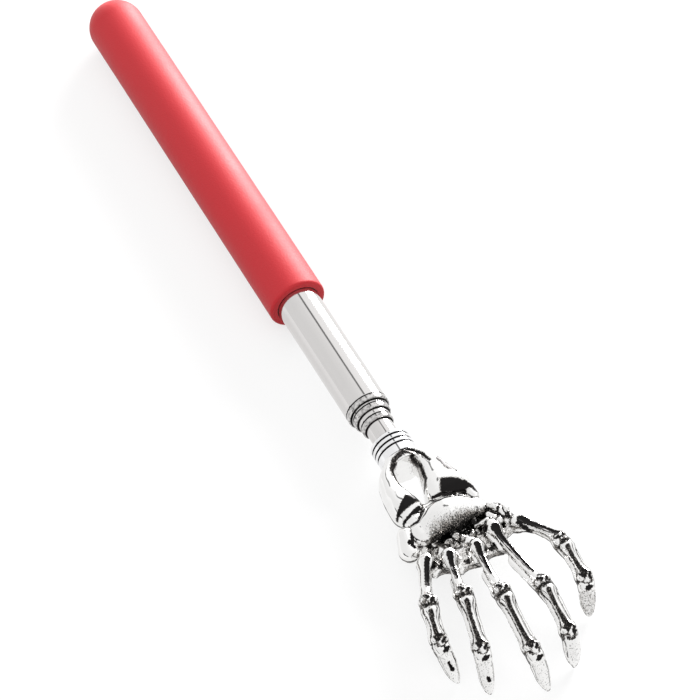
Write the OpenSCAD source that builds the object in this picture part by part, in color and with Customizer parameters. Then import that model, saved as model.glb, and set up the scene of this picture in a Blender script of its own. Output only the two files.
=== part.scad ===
// Telescopic back scratcher: a foam-covered grip, four nested steel tubes and a cast skeleton hand.
// The tubes share the X axis, the hand is at +X with its back up, and the thumb is on the +Y side.
// The origin is on the axis, halfway along the grip's straight wall.

/* [Grip] */
// Outer diameter of the foam
grip_d = 15.2; // [13.6:0.1:18]
// Length of the foam's straight wall
grip_straight = 110; // [80:1:140]
// Rounding of the foam's front edge
grip_edge_r = 0.8; // [0.3:0.1:1.2]
// How far the outer tube's tail runs past the grip's straight wall, into its round butt
tail_in_butt = 2; // [0:0.5:3]

/* [Butt plug] */
// Length of the plug inside the tube
plug_len = 4; // [2:0.5:8]
// Thickness of the plug's head, behind the tube
plug_head_t = 1; // [0.6:0.1:1.6]

/* [Tubes] */
// Outer diameter of the outer tube
tube_d = 11.2; // [10.4:0.1:12]
// Wall of every tube
tube_wall = 0.35; // [0.25:0.05:0.45]
// Radial room between a tube's bore and the next tube
nest_gap = 0.35; // [0.3:0.05:0.45]
// Bare length of the outer tube in front of the grip
outer_bare = 39.1; // [20:0.1:60]
// How far the closed second tube's mouth stands out of the outer tube
second_bare = 2.2; // [1:0.1:6]
// How far the closed third tube's mouth stands out of the second tube
third_bare = 2.9; // [1:0.1:6]
// Bare length of the closed fourth tube, from the third tube's mouth to the ferrule
fourth_bare = 5.3; // [2:0.1:10]
// Length of the rolled-in mouth of a tube
mouth_len = 1.2; // [0.8:0.1:2]
// Rounding of a mouth's outer edge
mouth_r = 0.3; // [0.1:0.05:0.35]
// Radial clearance of a rolled mouth on the tube that runs in it
mouth_clear = 0.1; // [0.08:0.01:0.15]
// Thickness of an inner tube's turned-in tail
tail_t = 0.5; // [0.3:0.1:1]
// Radial depth of an inner tube's turned-in tail
tail_depth = 1; // [0.8:0.1:1.4]
// Room between a closed tube's tail and what stops it
tail_gap = 0.3; // [0.2:0.1:0.6]

/* [Friction shims] */
// Length of a shim
shim_len = 10; // [6:0.5:16]
// Thickness of a shim
shim_t = 0.2; // [0.1:0.02:0.22]
// Angle that one shim covers around its tube
shim_angle = 160; // [120:1:172]
// Height of the rolled beads that hold the shims on a tube
bead_h = 0.22; // [0.14:0.02:0.24]
// Width of a bead
bead_w = 0.8; // [0.5:0.1:1.2]
// Room at each end of a shim, between the beads
shim_end_gap = 0.2; // [0.1:0.05:0.4]
// Room left in front of the leading bead when a tube is fully out
out_gap = 0.3; // [0.2:0.1:1]

/* [Wrist ferrule] */
// Length of the ferrule
ferrule_len = 6.5; // [5:0.1:10]
// Wall of the ferrule
ferrule_wall = 1.7; // [0.9:0.05:2.2]
// Depth of its turned grooves
groove_depth = 0.4; // [0.2:0.05:0.6]
// Width of a groove
groove_w = 0.5; // [0.3:0.05:0.8]
// Distance between grooves
groove_pitch = 1.4; // [1:0.1:1.8]
// Number of grooves
grooves = 3; // [1:1:3]
// Chamfer of the ferrule's rear edge
ferrule_edge = 0.5; // [0.2:0.1:0.7]
// Clearance of a part that is pressed or glued onto a tube or into it
seat_clear = 0.02; // [0.01:0.01:0.05]

/* [Wrist] */
// Length of the hand's spigot inside the fourth tube
spigot_len = 8; // [4:0.5:12]
// Clearance of the spigot in the fourth tube
spigot_clear = 0.06; // [0.04:0.01:0.1]
// Length of the round cuff at the start of the forearm
cuff_len = 2.6; // [1.5:0.1:4]
// Length of the forearm bones, from the shoulder to their far ends
forearm_len = 18.4; // [14:0.1:20]
// Distance between the two forearm bones' centre lines at their middle
forearm_gap = 12.4; // [11:0.1:14]
// Distance between their centre lines at the far end
forearm_end_gap = 11.6; // [10:0.1:12]
// Width and height of a forearm bone at its middle
forearm_mid = [6.4, 7.2]; // [5:0.1:9]
// Width and height of a forearm bone at its far end
forearm_end = [11.8, 9.4]; // [8:0.1:13]
// Length of a far end's round nose
forearm_nose = 2.6; // [1.5:0.1:4]
// Distance of the carpal band behind the middle finger's root
carpal_back = 8.4; // [7.6:0.1:10]
// Width of the carpal band across the hand
carpal_w = 23; // [18:0.5:28]
// Thickness of the carpal band in its middle
carpal_d = 8.8; // [7:0.1:10]
// Thickness of the carpal band at its ends
carpal_end_d = 6.4; // [5:0.1:8]
// Height of the carpal band's middle above its ends
carpal_arch = 2.4; // [1:0.1:4]
// Diameter of the round bone on the little finger's side
pisiform_d = 6.2; // [5:0.1:8]
// How far that bone stands out in front of the band, outside it and below it
pisiform_off = [2.4, 2.2, 1.4]; // [0:0.1:4]
// Diameter of the bone that carries the thumb
trapezium_d = 5.6; // [4.6:0.1:7]

/* [Digits] */
// Root of the thumb, from the hand's shoulder: along, across and up
thumb_root = [28.6, 14.4, 2]; // [0:0.1:40]
// Plan lengths of the thumb's three bones, root to claw
thumb_reach = [13.5, 9.6, 6.8]; // [4:0.1:30]
// Splay of the thumb's three bones, in degrees towards +Y
thumb_splay = [33, 6, -20]; // [-60:1:60]
// Root of the index finger
index_root = [27.4, 9.2, 3]; // [0:0.1:40]
// Plan lengths of the index finger's bones
index_reach = [22.2, 11.9, 5.2]; // [4:0.1:30]
// Splay of the index finger's bones
index_splay = [6, 1, -14]; // [-60:1:60]
// Root of the middle finger
middle_root = [30.8, 3, 3.2]; // [0:0.1:40]
// Plan lengths of the middle finger's bones
middle_reach = [15.7, 15.3, 7.8]; // [4:0.1:30]
// Splay of the middle finger's bones
middle_splay = [-5, 0, 1]; // [-60:1:60]
// Root of the ring finger
ring_root = [30.2, -3.7, 3]; // [-40:0.1:40]
// Plan lengths of the ring finger's bones
ring_reach = [13.9, 12.6, 8.3]; // [4:0.1:30]
// Splay of the ring finger's bones
ring_splay = [-11, -10, -14]; // [-60:1:60]
// Root of the little finger
little_root = [28.7, -8.5, 2.2]; // [-40:0.1:40]
// Plan lengths of the little finger's bones
little_reach = [14.5, 8.2, 8.4]; // [4:0.1:30]
// Splay of the little finger's bones
little_splay = [-25, -10, 4]; // [-60:1:60]
// Rise of a first bone from its root to the knuckle
knuckle_rise = 0.8; // [0:0.1:2]
// Share of the drop from the knuckle to the table that the second bone takes
second_share = 0.4; // [0.2:0.05:0.6]
// Diameter of a bone's knobs
knob_d = 4.2; // [3.4:0.1:5]
// Diameter of a bone's waist
waist_d = 2.7; // [2:0.1:3.2]
// Extra half width that a bone has low on its sides
bone_flank = 0.9; // [0:0.1:1.4]
// Distance of a knob's centre from the joint
knob_back = 1.4; // [1:0.1:2]
// Distance of the webs between the digits in front of their roots
web_out = 3; // [2:0.1:5]
// Thickness of a web
web_t = 2.4; // [1.6:0.1:3]
// Width of a claw at its middle
claw_w = 3.5; // [2.6:0.1:4.4]
// Width of a claw's blunt end
claw_end_w = 2.2; // [1.6:0.1:3]
// Thickness of a claw at its end
claw_end_t = 1.6; // [1.2:0.1:2.4]
// Height of a claw's end point above the table that the grip lies on
claw_lift = 0.3; // [0.2:0.1:1]

/* [Hidden] */
// Facets of the turned parts, of a bone's cross-section and of the rounded lumps
$fn = 64;
bone_sides = 12;
forearm_sides = 16;
lump_sides = 20;
// A value small enough to be lost in the casting, for overlaps between its lumps
merge = 0.5;

// The grip and the outer tube along X
butt_x = -grip_straight / 2;
face_x = grip_straight / 2 + grip_edge_r;
grip_r = grip_d / 2;
rest_z = -grip_r;
outer_tail = butt_x - tail_in_butt;
plug_face = outer_tail + plug_len;

// Radii of the four tubes, outermost first
nest_step = tube_wall + nest_gap;
function tube_r(k) = tube_d / 2 - k * nest_step;
function bore_r(k) = tube_r(k) - tube_wall;
function mouth_bore_r(k) = tube_r(k + 1) + mouth_clear;

// Mouths and tails of the tubes when closed: each tail stops on the one around it
outer_mouth = face_x + outer_bare;
second_mouth = outer_mouth + second_bare;
third_mouth = second_mouth + third_bare;
ferrule_x = third_mouth + fourth_bare;
shoulder_x = ferrule_x + ferrule_len;
second_tail = plug_face + tail_gap;
third_tail = second_tail + tail_t + tail_gap;
fourth_tail = third_tail + tail_t + tail_gap;

// Shims sit between a tail bead and a leading bead, in the middle of the nest gap
shim_start = bead_w + shim_end_gap;
lead_bead = shim_start + shim_len + shim_end_gap;
bead_front = lead_bead + bead_w;
shim_clear = (nest_gap - shim_t) / 2;
second_travel = outer_mouth - mouth_len - out_gap - second_tail - bead_front;
third_travel = second_mouth - mouth_len - out_gap - third_tail - bead_front;
fourth_travel = third_mouth - mouth_len - out_gap - fourth_tail - bead_front;
echo(travel_mm = [second_travel, third_travel, fourth_travel]);
echo(closed_length_mm = shoulder_x + claw_tip(middle_root, middle_reach, middle_splay)[0] - butt_x + grip_r);

// The hand's digits, thumb first
roots = [thumb_root, index_root, middle_root, ring_root, little_root];
reaches = [thumb_reach, index_reach, middle_reach, ring_reach, little_reach];
splays = [thumb_splay, index_splay, middle_splay, ring_splay, little_splay];
digits = len(roots);
ferrule_r = tube_r(3) + seat_clear + ferrule_wall;
carpal_x = middle_root[0] - carpal_back;
knob_r = knob_d / 2;
waist_r = waist_d / 2;

// Turns a profile of [radius, x] points about the X axis
module turned(profile)
    rotate([0, 90, 0]) rotate_extrude() polygon(profile);

// Quarter round from a radial face to a cylinder, as [radius, x] points
function rounded(r, x, edge) =
    [for (a = [0:15:90]) [r - edge + edge * sin(a), x - edge + edge * cos(a)]];

module foam_grip() {
    bore = tube_r(0) + seat_clear;
    bore_end = outer_tail - plug_head_t;
    color("indianred") difference() {
        union() {
            translate([butt_x, 0, 0]) rotate([0, 90, 0]) cylinder(r = grip_r, h = grip_straight);
            translate([butt_x, 0, 0]) sphere(r = grip_r);
            turned(concat([[bore, butt_x + grip_straight - merge]], [[bore, face_x]],
                rounded(grip_r, face_x, grip_edge_r), [[grip_r, butt_x + grip_straight - merge]]));
        }
        translate([bore_end, 0, 0]) rotate([0, 90, 0]) cylinder(r = bore, h = face_x - bore_end + merge);
    }
}

// Plastic plug in the outer tube's tail, its head as wide as the tube
module butt_plug() {
    body_r = bore_r(0) - seat_clear;
    color("dimgray") turned([
        [0, outer_tail - plug_head_t], [tube_r(0), outer_tail - plug_head_t], [tube_r(0), outer_tail],
        [body_r, outer_tail], [body_r, plug_face], [0, plug_face]
    ]);
}

// Outline of tube k's mouth, rolled in to guide the tube inside it
function mouth_outline(k, mouth) = concat(
    [[bore_r(k), mouth - mouth_len - (bore_r(k) - mouth_bore_r(k))], [mouth_bore_r(k), mouth - mouth_len]],
    [[mouth_bore_r(k), mouth]], rounded(tube_r(k), mouth, mouth_r));

// Outline of an inner tube's tail: turned in at the end, with two beads that hold the shims
function tail_outline(k, tail) = [
    [tube_r(k), tail + bead_front], [tube_r(k) + bead_h, tail + bead_front - bead_w / 4],
    [tube_r(k) + bead_h, tail + lead_bead], [tube_r(k), tail + lead_bead],
    [tube_r(k), tail + bead_w], [tube_r(k) + bead_h, tail + bead_w],
    [tube_r(k) + bead_h, tail + bead_w / 4], [tube_r(k), tail],
    [bore_r(k) - tail_depth, tail], [bore_r(k) - tail_depth, tail + tail_t], [bore_r(k), tail + tail_t]
];

module outer_tube() {
    color("silver") turned(concat(
        [[tube_r(0), outer_tail], [bore_r(0), outer_tail]], mouth_outline(0, outer_mouth)));
}

module second_tube() {
    color("silver") turned(concat(tail_outline(1, second_tail), mouth_outline(1, second_mouth)));
}

module third_tube() {
    color("silver") turned(concat(tail_outline(2, third_tail), mouth_outline(2, third_mouth)));
}

// The last tube has a plain front end, which stops at the hand's shoulder
module fourth_tube() {
    color("silver") turned(concat(
        tail_outline(3, fourth_tail), [[bore_r(3), shoulder_x], [tube_r(3), shoulder_x]]));
}

// One half-round spring leaf around tube k, its middle at the given angle from +Z
module shim(k, tail, turn) {
    inner = tube_r(k) + shim_clear;
    color("goldenrod") translate([tail + shim_start, 0, 0]) rotate([turn, 0, 0]) rotate([0, 90, 0])
        rotate([0, 0, 180 - shim_angle / 2]) rotate_extrude(angle = shim_angle)
            translate([inner, 0]) square([shim_t, shim_len]);
}

module second_shim_upper() shim(1, second_tail, 0);
module second_shim_lower() shim(1, second_tail, 180);
module third_shim_upper() shim(2, third_tail, 0);
module third_shim_lower() shim(2, third_tail, 180);
module fourth_shim_upper() shim(3, fourth_tail, 0);
module fourth_shim_lower() shim(3, fourth_tail, 180);

// Turned collar over the end of the fourth tube, with grooves around it
module wrist_ferrule() {
    bore = tube_r(3) + seat_clear;
    first_groove = ferrule_x + ferrule_edge + groove_w;
    color("gainsboro") difference() {
        turned([
            [bore, ferrule_x], [ferrule_r - ferrule_edge, ferrule_x], [ferrule_r, ferrule_x + ferrule_edge],
            [ferrule_r, shoulder_x], [bore, shoulder_x]
        ]);
        for (i = [0:grooves - 1]) {
            x = first_groove + i * groove_pitch;
            turned([
                [ferrule_r - groove_depth, x], [ferrule_r + merge, x],
                [ferrule_r + merge, x + groove_w], [ferrule_r - groove_depth, x + groove_w]
            ]);
        }
    }
}

// Directions and joints of a digit
function heading(a) = [cos(a), sin(a), 0];
function unit(v) = v / norm(v);
function knuckle(root, reach, splay) = root + reach[0] * heading(splay[0]) + [0, 0, knuckle_rise];
function drop(root) = root[2] + knuckle_rise - rest_z - claw_lift;
function second_joint(root, reach, splay) =
    knuckle(root, reach, splay) + reach[1] * heading(splay[1]) - [0, 0, second_share * drop(root)];
function claw_tip(root, reach, splay) =
    second_joint(root, reach, splay) + reach[2] * heading(splay[2]) - [0, 0, (1 - second_share) * drop(root)];

// Oval cross-section k of a skin: centre, direction, half width, half height and extra half width low down.
// Each second one is turned by half a step, so that no two facets of a skin lie in one plane.
function ring(k, c, dir, w, h, flank, n) =
    let (side = unit(cross([0, 0, 1], dir)), over = cross(dir, side))
    [for (i = [0:n - 1]) let (a = 360 / n * (i + k % 2 / 2))
        c + (w + flank * (1 - sin(a)) / 2) * cos(a) * side + h * sin(a) * over];

// Closed skin through a row of cross-sections
module skin(rings) {
    n = len(rings[0]);
    last = (len(rings) - 1) * n;
    polyhedron(
        points = [for (r = rings) each r],
        faces = concat(
            [[for (i = [0:n - 1]) i]],
            [for (s = [0:len(rings) - 2]) for (i = [0:n - 1])
                let (a = s * n + i, b = s * n + (i + 1) % n)
                each s % 2 == 0 ? [[a, a + n, b], [b, a + n, b + n]] : [[a, a + n, b + n], [a, b + n, b]]],
            [[for (i = [n - 1:-1:0]) last + i]]));
}

// Radius of a bone at a distance from its nearer joint: a knob, then the waist
function bone_r(d) = max(waist_r, sqrt(max(0, knob_r ^ 2 - (d - knob_back) ^ 2)));

// Stations along a bone, close together at its knobs, as shares of its length
bone_stations = [0, 0.05, 0.1, 0.17, 0.25, 0.38, 0.5, 0.62, 0.75, 0.83, 0.9, 0.95];
function bone_rings(p, q, before, after) = [
    for (k = [0:len(bone_stations) - 1])
        let (
            s = bone_stations[k],
            dir = unit(unit(q - p) + max(0, 0.5 - 3 * s) * before + max(0, 3 * s - 2.5) * after),
            r = bone_r(min(s, 1 - s) * norm(q - p)))
        ring(k, p + s * (q - p), dir, r, r, bone_flank, bone_sides)
];

// Stations along a claw: its knob, then a flat blade that narrows to a blunt round end
claw_stations = [0, 0.07, 0.14, 0.22, 0.32, 0.45, 0.6, 0.75, 0.88, 0.96, 1];
function claw_half_w(s) = s < 0.45 ? claw_w / 2 : claw_w / 2 + (claw_end_w - claw_w) / 2 * (s - 0.45) / 0.55;
function claw_half_t(s) = waist_r + (claw_end_t / 2 - waist_r) * s;
function claw_end(s) = s < 0.88 ? 1 : sqrt(1 - ((s - 0.88) / 0.13) ^ 2);
function claw_rings(p, q, before) = [
    for (k = [0:len(claw_stations) - 1])
        let (
            s = claw_stations[k],
            dir = unit(unit(q - p) + max(0, 0.5 - 3 * s) * before),
            knob = sqrt(max(0, knob_r ^ 2 - (s * norm(q - p) - knob_back) ^ 2)) * 0.95)
        ring(k, p + s * (q - p), dir, max(knob, claw_half_w(s)) * claw_end(s),
            max(knob, claw_half_t(s)) * claw_end(s), bone_flank * max(0, 1 - 2 * s), bone_sides)
];

module digit(root, reach, splay) {
    a = knuckle(root, reach, splay);
    b = second_joint(root, reach, splay);
    c = claw_tip(root, reach, splay);
    skin(concat(
        bone_rings(root, a, unit(a - root), unit(b - a)),
        bone_rings(a, b, unit(a - root), unit(c - b)),
        claw_rings(b, c, unit(b - a))));
}

// One of the two forearm bones: a round start in the cuff, a narrow middle and a swollen end.
// A station holds the distance along, the centre line's offset, the half width and the half height.
module forearm_bone(side) {
    cuff_w = ferrule_r / 2;
    cuff_h = ferrule_r - merge / 2;
    nose_x = forearm_len - forearm_nose;
    mid_x = (cuff_len + nose_x) / 2;
    mid = [forearm_gap, forearm_mid[0], forearm_mid[1]] / 2;
    end = [forearm_end_gap, forearm_end[0], forearm_end[1]] / 2;
    stations = concat(
        [[0, cuff_w, cuff_w, cuff_h], [cuff_len, (cuff_w + mid[0]) / 2, mid[1] * 0.8, cuff_h]],
        [[(cuff_len + mid_x) / 2, mid[0], mid[1], mid[2]], concat([mid_x], mid)],
        [concat([(mid_x + nose_x) / 2], mid * 0.45 + end * 0.55), concat([nose_x], end)],
        [for (a = [30, 60, 80]) [nose_x + forearm_nose * sin(a), end[0], end[1] * cos(a), end[2] * cos(a)]]);
    skin([for (k = [0:len(stations) - 1]) let (s = stations[k])
        ring(k, [s[0], side * s[1], 0], [1, 0, 0], s[2], s[3], 0, forearm_sides)]);
}

// Points of the carpal arch across the hand, from -1 at the little finger's side to 1
function carpal_point(u) = [carpal_x, u * (carpal_w - carpal_end_d) / 2, carpal_arch * (1 - u * u)];
function carpal_r(u) = (carpal_d + (carpal_end_d - carpal_d) * u * u) / 2;

// The carpal band: round sections across the arch, with a round cap at each end.
// A station holds the place along the arch and the angle around a cap.
module carpal_band() {
    cap = [30, 60, 80];
    stations = concat(
        [for (i = [len(cap) - 1:-1:0]) [-1, cap[i]]], [for (u = [-1:0.25:1]) [u, 0]], [for (a = cap) [1, a]]);
    skin([for (k = [0:len(stations) - 1])
        let (u = stations[k][0], a = stations[k][1], r = carpal_r(u))
        ring(k, carpal_point(u) + [0, u * r * sin(a), 0], [0, 1, 0], r * cos(a), r * cos(a), 0, lump_sides)]);
}

// Where digit i grows from the carpal band, and where a web meets it, low on its first bone
function stem_point(i) = carpal_point(max(-1, min(1, 2 * roots[i][1] / carpal_w))) - [0, 0, waist_r];
function web_point(i) = roots[i] + web_out * heading(splays[i][0]) - [0, 0, waist_r / 2];

// A rounded link between two points of the casting
module link(p, q, rp, rq)
    hull() {
        translate(p) sphere(r = rp, $fn = lump_sides);
        translate(q) sphere(r = rq, $fn = lump_sides);
    }

module skeleton_hand() {
    spigot_r = bore_r(3) - spigot_clear;
    pisiform = carpal_point(-1) + [pisiform_off[0], -pisiform_off[1], -pisiform_off[2]];
    trapezium = (carpal_point(1) + thumb_root) / 2;
    color("lightgray") translate([shoulder_x, 0, 0]) union() {
        translate([-spigot_len, 0, 0]) rotate([0, 90, 0]) cylinder(r = spigot_r, h = spigot_len + merge);
        rotate([0, 90, 0]) cylinder(r = ferrule_r, h = cuff_len);
        for (side = [-1, 1]) forearm_bone(side);
        // The far ends of the forearm bones meet the carpal band
        for (side = [-1, 1])
            link([forearm_len - forearm_nose, side * forearm_end_gap / 2, 0],
                carpal_point(side * 0.6), forearm_mid[1] / 2, carpal_r(0.6) - merge);
        carpal_band();
        link(carpal_point(-1), pisiform, carpal_r(1) - merge, pisiform_d / 2);
        link(trapezium, thumb_root, trapezium_d / 2, knob_r);
        // Each digit grows from the carpal band, and a plate ties it to the next one
        for (i = [0:digits - 1]) link(roots[i], stem_point(i), knob_r, knob_r);
        for (i = [0:digits - 2])
            hull() for (p = [web_point(i), web_point(i + 1), stem_point(i), stem_point(i + 1)])
                translate(p) sphere(r = web_t / 2, $fn = lump_sides);
        for (i = [0:digits - 1]) digit(roots[i], reaches[i], splays[i]);
    }
}

foam_grip();
butt_plug();
outer_tube();
second_tube();
second_shim_upper();
second_shim_lower();
third_tube();
third_shim_upper();
third_shim_lower();
fourth_tube();
fourth_shim_upper();
fourth_shim_lower();
wrist_ferrule();
skeleton_hand();
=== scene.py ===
# Telescopic back scratcher: a foam-covered grip, four nested steel tubes and a chromed skeleton hand.
# All of it lies along the X axis, with the hand at +X, its back up and its thumb on the +Y side.
import math
from itertools import pairwise

import bmesh
import bpy
import numpy as np
import openvdb
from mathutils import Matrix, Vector, noise


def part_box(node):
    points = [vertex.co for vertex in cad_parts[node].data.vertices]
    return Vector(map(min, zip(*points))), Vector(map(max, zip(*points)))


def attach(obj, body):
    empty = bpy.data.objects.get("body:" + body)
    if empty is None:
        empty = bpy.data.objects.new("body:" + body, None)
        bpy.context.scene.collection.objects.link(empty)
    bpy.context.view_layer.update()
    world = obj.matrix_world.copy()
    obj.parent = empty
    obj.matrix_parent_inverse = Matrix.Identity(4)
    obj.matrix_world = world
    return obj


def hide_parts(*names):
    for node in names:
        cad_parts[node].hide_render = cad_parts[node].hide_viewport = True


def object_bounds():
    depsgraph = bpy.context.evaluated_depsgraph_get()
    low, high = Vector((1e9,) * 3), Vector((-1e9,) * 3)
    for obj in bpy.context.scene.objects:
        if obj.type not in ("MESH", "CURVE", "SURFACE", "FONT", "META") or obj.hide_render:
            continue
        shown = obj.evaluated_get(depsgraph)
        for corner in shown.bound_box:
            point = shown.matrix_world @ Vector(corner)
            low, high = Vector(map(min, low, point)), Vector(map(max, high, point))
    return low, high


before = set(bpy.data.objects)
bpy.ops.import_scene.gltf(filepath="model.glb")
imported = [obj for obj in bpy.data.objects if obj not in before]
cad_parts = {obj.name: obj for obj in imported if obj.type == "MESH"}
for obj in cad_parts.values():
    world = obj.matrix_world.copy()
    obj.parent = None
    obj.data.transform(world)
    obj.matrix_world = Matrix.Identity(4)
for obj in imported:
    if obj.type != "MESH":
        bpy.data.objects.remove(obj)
cad_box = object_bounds()

# Outer tube
# Thin stainless tube, drawn and then polished, with its mouth rolled in to guide the next tube.
# Its rear part is glued into the foam grip, and its front third is bare.
mm = 0.001
tube_wall = 0.35 * mm
nest_step = 0.7 * mm
mouth_len = 1.2 * mm
mouth_lip = 0.3 * mm
mouth_clear = 0.1 * mm
mouth_crease = 0.09 * mm
lip_dark_patches = 0.42
outer_tail, outer_mouth = (corner.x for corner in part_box("outer_tube"))
outer_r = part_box("outer_tube")[1].z
sharp_angle = math.radians(20)
bright_steel = (0.70, 0.685, 0.675)
dull_steel = (0.63, 0.615, 0.61)
# Black of the painted shade in the tubes' creases and throats, at the foam's bore and in the ferrule's
# grooves
shade_black = (0.02, 0.02, 0.02)


def quarter(x, radius, edge, steps=6):
    """Outline of a rounded front edge, from the wall at the radius to the face at x."""
    turns = [math.pi / 2 * i / steps for i in range(steps + 1)]
    return [(x - edge + edge * math.sin(a), radius - edge + edge * math.cos(a)) for a in turns]


def rolled_mouth(mouth, radius):
    """Outline of a tube's mouth, from its wall over the lip and the throat to its bore. Painted shade
    darkens the crease behind the lip and the throat, and the lip between them is darkened in patches."""
    throat = radius - nest_step + mouth_clear
    bore = radius - tube_wall
    crease_x = mouth - mouth_len - mouth_lip
    crease_r = radius - mouth_crease
    return [
        (crease_x - 3 * mouth_crease, radius), (crease_x - mouth_crease, crease_r, 1),
        (crease_x + mouth_crease, crease_r, 1), (crease_x + 3 * mouth_crease, radius, lip_dark_patches),
        *((x, r, lip_dark_patches) for x, r in quarter(mouth, radius, mouth_lip)),
        (mouth, throat + mouth_lip * 2 / 3, 1), (mouth - mouth_lip / 3, throat, 1),
        (mouth - mouth_len, throat, 1), (mouth - mouth_len - (bore - throat), bore, 1),
    ]


def turned(name, outline, finish, sides=144):
    """A piece turned about the X axis from a closed outline of (x, radius) points; radius 0 is a pole.
    A point may hold a third number, how much painted shade it has, from 0 to 1."""
    shape = bmesh.new()
    turns = [2 * math.pi * i / sides for i in range(sides)]
    rings = [
        [shape.verts.new((x, r * math.sin(a), r * math.cos(a))) for a in (turns if r else turns[:1])]
        for x, r, *_ in outline
    ]
    painted_shade = [float(sum(shade_level)) for ring, (_, _, *shade_level) in zip(rings, outline) for _ in ring]
    closed = [] if outline[0][1] == 0 else [(rings[-1], rings[0])]
    for one, two in [*pairwise(rings), *closed]:
        for i in range(sides):
            j = (i + 1) % sides
            corners = [one[i % len(one)], one[j % len(one)], two[j % len(two)], two[i % len(two)]]
            shape.faces.new(list(dict.fromkeys(corners))).smooth = True
    bmesh.ops.recalc_face_normals(shape, faces=shape.faces)
    mesh = bpy.data.meshes.new(name)
    shape.to_mesh(mesh)
    shape.free()
    mesh.set_sharp_from_angle(angle=sharp_angle)
    mesh.attributes.new("painted_shade", "FLOAT", "POINT").data.foreach_set("value", painted_shade)
    mesh.materials.append(finish)
    piece = bpy.data.objects.new(name, mesh)
    bpy.context.scene.collection.objects.link(piece)
    return piece


class Wire:
    """An output of a shader node. Arithmetic on wires and numbers adds Math nodes, and make() adds any
    other node."""

    def __init__(self, tree, socket=None):
        self.tree = tree
        self.socket = socket

    def make(self, kind, settings=None, sockets=None, out=0):
        """Adds a node, gives it its settings and then its sockets' values or links; returns an output."""
        node = self.tree.nodes.new("ShaderNode" + kind)
        for name, value in (settings or {}).items():
            setattr(node, name, value)
        for name, value in (sockets or {}).items():
            if isinstance(value, Wire):
                self.tree.links.new(value.socket, node.inputs[name])
            else:
                node.inputs[name].default_value = value
        return Wire(self.tree, node.outputs[out])

    def other(self, out):
        """Another output of the same node."""
        return Wire(self.tree, self.socket.node.outputs[out])

    def maths(self, operation, one, two):
        """A Math node on two wires or numbers."""
        return self.make("Math", {"operation": operation}, {0: one, 1: two})

    def __add__(self, value):
        return self.maths("ADD", self, value)

    def __sub__(self, value):
        return self.maths("SUBTRACT", self, value)

    def __rsub__(self, value):
        return self.maths("SUBTRACT", value, self)

    def __mul__(self, value):
        return self.maths("MULTIPLY", self, value)

    __radd__ = __add__
    __rmul__ = __mul__

    def rise(self, low, high):
        """0 below the low value and 1 above the high one, with a soft step between them."""
        steps = {"From Min": low, "From Max": high, "Value": self}
        return self.make("MapRange", {"interpolation_type": "SMOOTHSTEP"}, steps)

    def within(self, low, high, soft):
        """1 between the low and the high value and 0 outside them, with soft steps."""
        return self.rise(low, low + soft) * (1 - self.rise(high - soft, high))

    def tint(self, low, high):
        """The colour low where this value is 0, and high where it is 1; low may be a wire as well."""
        low = low if isinstance(low, Wire) else (*low, 1)
        return self.make("Mix", {"data_type": "RGBA"}, {0: self, 6: low, 7: (*high, 1)}, out=2)

    def bump(self, strength, height):
        """A normal from this value taken as a height, where 1 stands for the given metres."""
        return self.make("Bump", {}, {"Strength": strength, "Distance": height, "Height": self})


def finish_of(name, marks, **even):
    """A material: even values go straight to the shader's sockets, and marks(start) gives the wires."""
    material = bpy.data.materials.new(name)
    material.use_nodes = True
    shader = material.node_tree.nodes["Principled BSDF"]
    for socket, value in even.items():
        shader.inputs[socket.replace("_", " ")].default_value = value
    for socket, wire in marks(Wire(material.node_tree)).items():
        material.node_tree.links.new(wire.socket, shader.inputs[socket])
    return material


def with_painted_shade(start, clean):
    """The clean colour, darkened in smears by painted shade where a turned piece holds it."""
    painted_shade = start.make("Attribute", {"attribute_name": "painted_shade"}, out="Fac")
    place = start.make("TexCoord", out="Object")
    smear = start.make("TexNoise", {}, {"Vector": place, "Scale": 1300, "Detail": 3})
    shade_level = (painted_shade + 0.8 * (smear - 0.5)).rise(0.3, 0.7)
    return shade_level.tint(clean, shade_black)


def polishing_marks(start):
    """Fine lines along the tube, and duller patches where hands have been."""
    place = start.make("TexCoord", out="Object")
    along = start.make("Mapping", {}, {"Vector": place, "Scale": (40, 4000, 4000)})
    drawn = start.make("TexNoise", {}, {"Vector": along, "Scale": 1, "Detail": 3})
    hands = start.make("TexNoise", {}, {"Vector": place, "Scale": 70, "Detail": 4, "Roughness": 0.6})
    dull = hands.rise(0.45, 0.75)
    return {
        "Base Color": with_painted_shade(start, (0.5 * drawn + 0.5 * dull).tint(bright_steel, dull_steel)),
        "Roughness": 0.06 + 0.05 * drawn + 0.09 * dull,
        "Normal": drawn.bump(0.04, 0.02 * mm),
    }


polished_steel = finish_of("polished_steel", polishing_marks, Metallic=1.0)
outer_outline = [
    (outer_tail, outer_r - tube_wall), (outer_tail, outer_r),
    *rolled_mouth(outer_mouth, outer_r),
]
outer_tube = turned("polished_outer_tube", outer_outline, polished_steel)
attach(outer_tube, "handle")
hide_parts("outer_tube")

# Butt plug
# Moulded dark plastic plug that closes the outer tube's tail and stops the second tube.
# It is pressed in, and the foam's round butt hides it.
black_plastic = (0.020, 0.020, 0.022)
grey_plastic = (0.035, 0.035, 0.037)


def moulded_grain(start):
    """The fine grain of a spark-eroded mould."""
    place = start.make("TexCoord", out="Object")
    grain_marks = start.make("TexNoise", {}, {"Vector": place, "Scale": 2500, "Detail": 2})
    return {
        "Base Color": grain_marks.tint(black_plastic, grey_plastic),
        "Roughness": 0.45 + 0.2 * grain_marks,
        "Normal": grain_marks.bump(0.2, 0.05 * mm),
    }


butt_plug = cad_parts["butt_plug"].data
butt_plug.materials.clear()
butt_plug.materials.append(finish_of("moulded_plastic", moulded_grain))

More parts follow.
